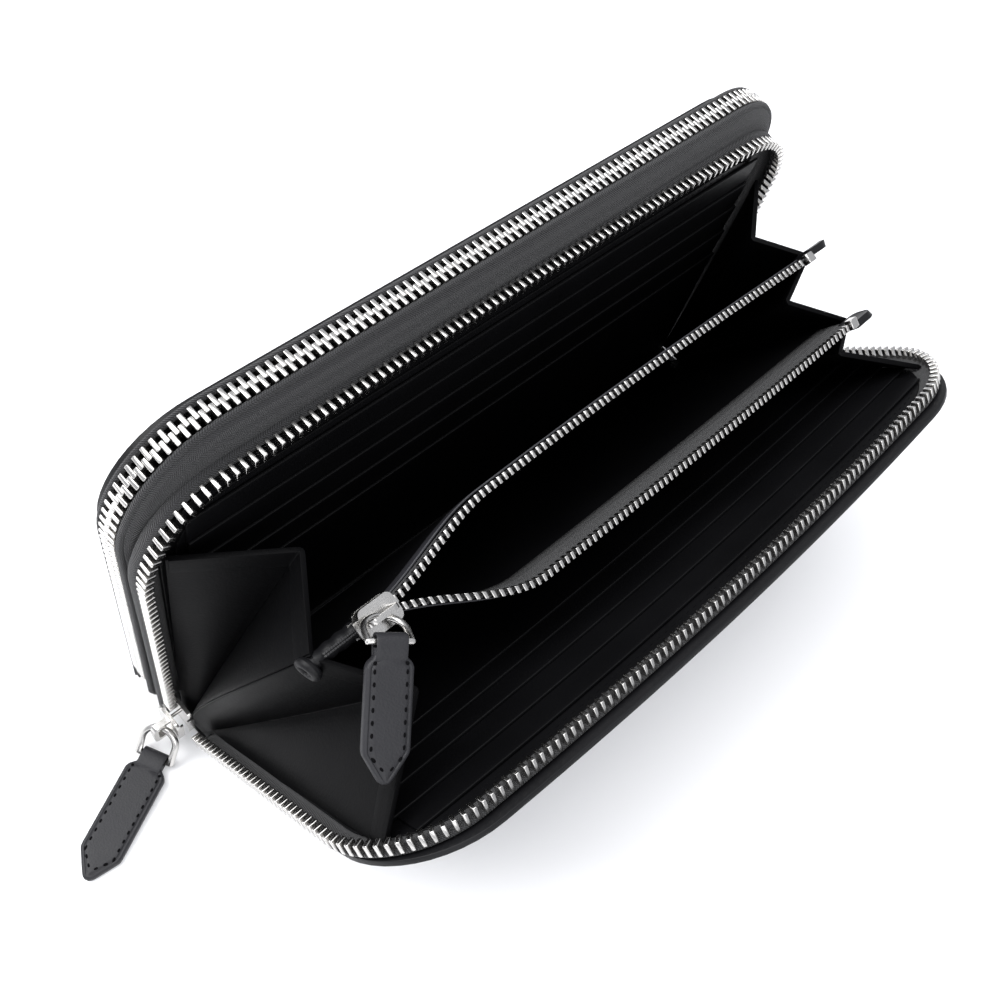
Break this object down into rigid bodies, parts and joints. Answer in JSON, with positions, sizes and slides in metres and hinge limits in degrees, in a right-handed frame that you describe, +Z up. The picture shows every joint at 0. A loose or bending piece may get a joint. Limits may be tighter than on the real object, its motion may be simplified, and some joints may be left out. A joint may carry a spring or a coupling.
{
  "type": "double zip long wallet",
  "caption": "Long leather wallet standing on its spine: closed zip compartment behind, open zip compartment in front with card pockets, folded gussets and a zipped coin pouch.",
  "frame": {"origin": "on the flat underside of the spine, mid length, under the divider", "axes": "+X along the length towards the back zip pull, -Y towards the opened front cover, +Z up"},
  "size_m": [0.2746, 0.0945, 0.108],
  "materials": {
    "black_leather": "smooth calf leather with a soft sheen",
    "thin_leather": "thin smooth leather",
    "lining": "smooth lining leather",
    "tape": "woven herringbone zip tape",
    "silver_metal": "polished silver plating"
  },
  "bodies": {
    "back_half": {"spine": "black_leather", "spine_lining": "lining", "back_cover": "black_leather", "back_lining": "lining", "divider": "black_leather", "divider_back_lining": "lining", "divider_lining": "lining", "divider_pocket_1": "black_leather", "divider_pocket_2": "black_leather", "divider_pocket_3": "black_leather", "divider_pocket_4": "black_leather", "divider_pocket_5": "black_leather", "back_zip_tape_rear": "tape", "back_zip_tape_front": "tape", "back_zip_teeth_rear": "silver_metal", "back_zip_teeth_front": "silver_metal", "front_zip_tape_rear": "tape", "front_zip_teeth_rear": "silver_metal", "front_fold": "thin_leather", "gusset_rear_left": "thin_leather", "gusset_rear_right": "thin_leather"},
    "back_slider": {"back_slider": "silver_metal"},
    "back_ring": {"back_ring": "silver_metal"},
    "back_pull": {"back_pull": "black_leather"},
    "main_slider": {"main_slider": "silver_metal"},
    "main_ring": {"main_ring": "silver_metal"},
    "main_pull": {"main_pull": "black_leather"},
    "front_cover": {"front_cover": "black_leather", "cover_lining": "lining", "cover_pocket_1": "black_leather", "cover_pocket_2": "black_leather", "cover_pocket_3": "black_leather", "cover_pocket_4": "black_leather", "cover_pocket_5": "black_leather", "front_zip_tape_cover": "tape", "front_zip_teeth_cover": "silver_metal"},
    "coin_pouch": {"pouch_base": "black_leather", "pouch_sleeve": "black_leather", "pouch_knot": "black_leather", "pouch_end_gusset": "thin_leather", "gusset_front_left": "thin_leather", "gusset_front_right": "thin_leather"},
    "pouch_back_wall": {"pouch_wall_back": "black_leather", "coin_tape_back": "tape", "coin_teeth_back": "silver_metal", "coin_stop_back": "silver_metal", "pouch_tab_back": "black_leather"},
    "pouch_front_wall": {"pouch_wall_front": "black_leather", "coin_tape_front": "tape", "coin_teeth_front": "silver_metal", "coin_stop_front": "silver_metal", "pouch_tab_front": "black_leather"},
    "coin_slider": {"coin_slider": "silver_metal"},
    "coin_ring": {"coin_ring": "silver_metal"},
    "coin_pull": {"coin_pull": "black_leather"}
  },
  "joints": [
    {"name": "front_cover_hinge", "type": "hinge", "parent": "coin_pouch", "child": "front_cover", "pos_m": [0, -0.0137, 0.0075], "axis": [1, 0, 0], "range_deg": [-21, 1], "deforming": ["front_fold", "gusset_front_left", "gusset_front_right"]},
    {"name": "pouch_hinge", "type": "hinge", "parent": "back_half", "child": "coin_pouch", "pos_m": [0, -0.0137, 0.0075], "axis": [1, 0, 0], "range_deg": [-21.05, 1.05], "deforming": ["gusset_rear_left", "gusset_rear_right"]},
    {"name": "pouch_back_wall_hinge", "type": "hinge", "parent": "coin_pouch", "child": "pouch_back_wall", "pos_m": [0, -0.0137, 0.0075], "axis": [1, 0, 0], "range_deg": [-0.26, 4.35], "deforming": ["pouch_end_gusset"]},
    {"name": "pouch_front_wall_hinge", "type": "hinge", "parent": "coin_pouch", "child": "pouch_front_wall", "pos_m": [0, -0.0137, 0.0075], "axis": [1, 0, 0], "range_deg": [-10.35, 0.54]},
    {"name": "main_slider_slide", "type": "slide", "parent": "back_half", "child": "main_slider", "axis": [0, 0.022, 0.9998], "range_m": [0, 0.062]},
    {"name": "main_ring_hinge", "type": "hinge", "parent": "main_slider", "child": "main_ring", "pos_m": [-0.1029, -0.00687, 0.00875], "axis": [-0.4384, 0.8986, -0.0198], "range_deg": [0, 65]},
    {"name": "main_pull_hinge", "type": "hinge", "parent": "main_ring", "child": "main_pull", "pos_m": [-0.10759, -0.00932, 0.00165], "axis": [-0.4384, 0.8986, -0.0198], "range_deg": [0, 35]},
    {"name": "back_slider_slide", "type": "slide", "parent": "back_half", "child": "back_slider", "axis": [0, 0, 1], "range_m": [0, 0.06]},
    {"name": "back_ring_hinge", "type": "hinge", "parent": "back_slider", "child": "back_ring", "pos_m": [0.1029, 0.0065, 0.00875], "axis": [0, -1, 0], "range_deg": [0, 65]},
    {"name": "back_pull_hinge", "type": "hinge", "parent": "back_ring", "child": "back_pull", "pos_m": [0.10812, 0.0065, 0.0016], "axis": [0, -1, 0], "range_deg": [0, 35]},
    {"name": "coin_slider_slide", "type": "slide", "parent": "coin_pouch", "child": "coin_slider", "axis": [1, 0, 0], "range_m": [0, 0.135]},
    {"name": "coin_ring_hinge", "type": "hinge", "parent": "coin_slider", "child": "coin_ring", "pos_m": [-0.07, -0.03699, 0.0849], "axis": [-0.7859, 0.3765, 0.4906], "range_deg": [-2.32, 47.67]},
    {"name": "coin_pull_hinge", "type": "hinge", "parent": "coin_ring", "child": "coin_pull", "pos_m": [-0.07343, -0.04241, 0.08827], "axis": [0.7431, -0.6226, -0.2452], "range_deg": [-58.05, 2.81]}
  ],
  "couplings": [
    {"joint": "pouch_hinge", "follows": "front_cover_hinge", "ratio": 1},
    {"joint": "pouch_back_wall_hinge", "follows": "front_cover_hinge", "ratio": -0.20476},
    {"joint": "pouch_front_wall_hinge", "follows": "front_cover_hinge", "ratio": 0.49048},
    {"joint": "coin_ring_hinge", "follows": "front_cover_hinge", "ratio": -2.2676},
    {"joint": "coin_pull_hinge", "follows": "front_cover_hinge", "ratio": 2.7619}
  ]
}
